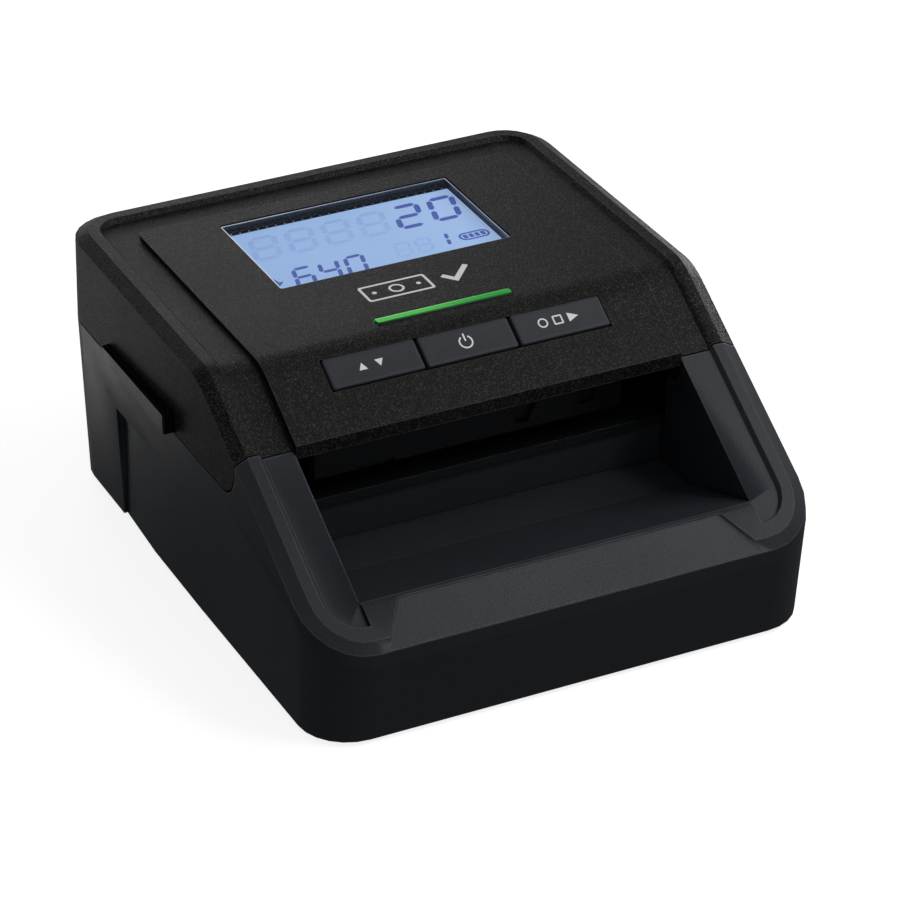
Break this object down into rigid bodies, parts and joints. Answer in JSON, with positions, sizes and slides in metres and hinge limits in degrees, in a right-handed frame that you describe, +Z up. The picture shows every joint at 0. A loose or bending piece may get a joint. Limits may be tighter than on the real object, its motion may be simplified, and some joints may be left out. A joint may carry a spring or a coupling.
{
  "type": "counterfeit bill detector",
  "caption": "Counter-top automatic counterfeit bill detector with sloping front note mouth, raised control panel, display, three keys, status light and hinged sensor lid",
  "frame": {"origin": "on the counter under the centre of the housing", "axes": "+X to the operator's right, -Y towards the operator, +Z up"},
  "size_m": [0.1206, 0.1362, 0.0602],
  "materials": {
    "textured_black": "coarse spark-eroded texture",
    "satin_charcoal": "fine satin",
    "key_grey": "fine satin",
    "smoked_plastic": "polished, smoked",
    "clear_window": "clear",
    "lcd_blue": "back-lit liquid crystal",
    "white_diffuser": "diffusing",
    "light_green": "tinted light guide",
    "board_green": "solder mask",
    "black_rubber": "matte",
    "steel": "bright",
    "brass": "turned",
    "acetal_white": "moulded",
    "inner_black": "moulded"
  },
  "bodies": {
    "housing": {"base_plate": "satin_charcoal", "base_screw_front_left": "steel", "base_screw_front_right": "steel", "base_screw_rear_left": "steel", "base_screw_rear_right": "steel", "dc_inlet": "inner_black", "drive_belt": "black_rubber", "drive_motor": "steel", "feed_deck": "smoked_plastic", "foot_front_left": "black_rubber", "foot_front_right": "black_rubber", "foot_rear_left": "black_rubber", "foot_rear_right": "black_rubber", "hinge_pin": "steel", "lower_sensor_board": "board_green", "lower_sensor_window": "smoked_plastic", "lower_shell": "satin_charcoal", "magnetic_head": "steel", "main_board": "board_green", "shaft_bush_front_left": "brass", "shaft_bush_front_right": "brass", "shaft_bush_rear_left": "brass", "shaft_bush_rear_right": "brass", "usb_port": "steel"},
    "lid": {"lid_cover": "textured_black", "display_window": "clear_window", "lcd_frame": "inner_black", "lcd_panel": "lcd_blue", "lcd_backlight": "white_diffuser", "display_board": "board_green", "status_light_pipe": "light_green", "keypad_board": "board_green", "upper_guide": "smoked_plastic", "upper_sensor_window": "smoked_plastic", "guide_screw_left": "steel", "guide_screw_right": "steel"},
    "arrow_key": {"arrow_key": "key_grey"},
    "power_key": {"power_key": "key_grey"},
    "function_key": {"function_key": "key_grey"},
    "release_tab_left": {"release_tab_left": "satin_charcoal", "tab_spring_left": "steel"},
    "release_tab_right": {"release_tab_right": "satin_charcoal", "tab_spring_right": "steel"},
    "front_roller_set": {"front_drive_shaft": "steel", "drive_roller_front_left": "black_rubber", "drive_roller_front_right": "black_rubber", "belt_pulley_front": "acetal_white", "front_drive_gear": "acetal_white"},
    "rear_roller_set": {"rear_drive_shaft": "steel", "drive_roller_rear_left": "black_rubber", "drive_roller_rear_right": "black_rubber", "belt_pulley_rear": "acetal_white"},
    "motor_pinion": {"motor_pinion": "brass"},
    "front_pinch_set": {"pinch_shaft_front": "steel", "pinch_roller_front_left": "acetal_white", "pinch_roller_front_right": "acetal_white"},
    "rear_pinch_set": {"pinch_shaft_rear": "steel", "pinch_roller_rear_left": "acetal_white", "pinch_roller_rear_right": "acetal_white"}
  },
  "joints": [
    {"name": "lid_hinge", "type": "hinge", "parent": "housing", "child": "lid", "pos_m": [0, 0.066, 0.0411], "axis": [-1, 0, 0], "range_deg": [0, 65]},
    {"name": "arrow_key_press", "type": "slide", "parent": "lid", "child": "arrow_key", "axis": [0, 0.5269, -0.8499], "range_m": [0, 0.0005], "stiffness_N_per_m": 400, "springref_m": -0.0005},
    {"name": "power_key_press", "type": "slide", "parent": "lid", "child": "power_key", "axis": [0, 0.5269, -0.8499], "range_m": [0, 0.0005], "stiffness_N_per_m": 400, "springref_m": -0.0005},
    {"name": "function_key_press", "type": "slide", "parent": "lid", "child": "function_key", "axis": [0, 0.5269, -0.8499], "range_m": [0, 0.0005], "stiffness_N_per_m": 400, "springref_m": -0.0005},
    {"name": "release_tab_left_press", "type": "slide", "parent": "lid", "child": "release_tab_left", "axis": [1, 0, 0], "range_m": [0, 0.0013], "stiffness_N_per_m": 400, "springref_m": -0.001},
    {"name": "release_tab_right_press", "type": "slide", "parent": "lid", "child": "release_tab_right", "axis": [-1, 0, 0], "range_m": [0, 0.0013], "stiffness_N_per_m": 400, "springref_m": -0.001},
    {"name": "front_roller_turn", "type": "hinge", "parent": "housing", "child": "front_roller_set", "pos_m": [0, -0.0093, 0.0244], "axis": [1, 0, 0], "continuous": true},
    {"name": "rear_roller_turn", "type": "hinge", "parent": "housing", "child": "rear_roller_set", "pos_m": [0, 0.0367, 0.0244], "axis": [1, 0, 0], "continuous": true},
    {"name": "pinion_turn", "type": "hinge", "parent": "housing", "child": "motor_pinion", "pos_m": [0, 0.00102, 0.01717], "axis": [1, 0, 0], "continuous": true},
    {"name": "front_pinch_turn", "type": "hinge", "parent": "lid", "child": "front_pinch_set", "pos_m": [0, -0.0093, 0.0357], "axis": [1, 0, 0], "continuous": true},
    {"name": "rear_pinch_turn", "type": "hinge", "parent": "lid", "child": "rear_pinch_set", "pos_m": [0, 0.0367, 0.0357], "axis": [1, 0, 0], "continuous": true}
  ],
  "couplings": [
    {"joint": "rear_roller_turn", "follows": "front_roller_turn", "ratio": 1},
    {"joint": "pinion_turn", "follows": "front_roller_turn", "ratio": -2.5},
    {"joint": "front_pinch_turn", "follows": "front_roller_turn", "ratio": -1.75},
    {"joint": "rear_pinch_turn", "follows": "front_roller_turn", "ratio": -1.75}
  ]
}
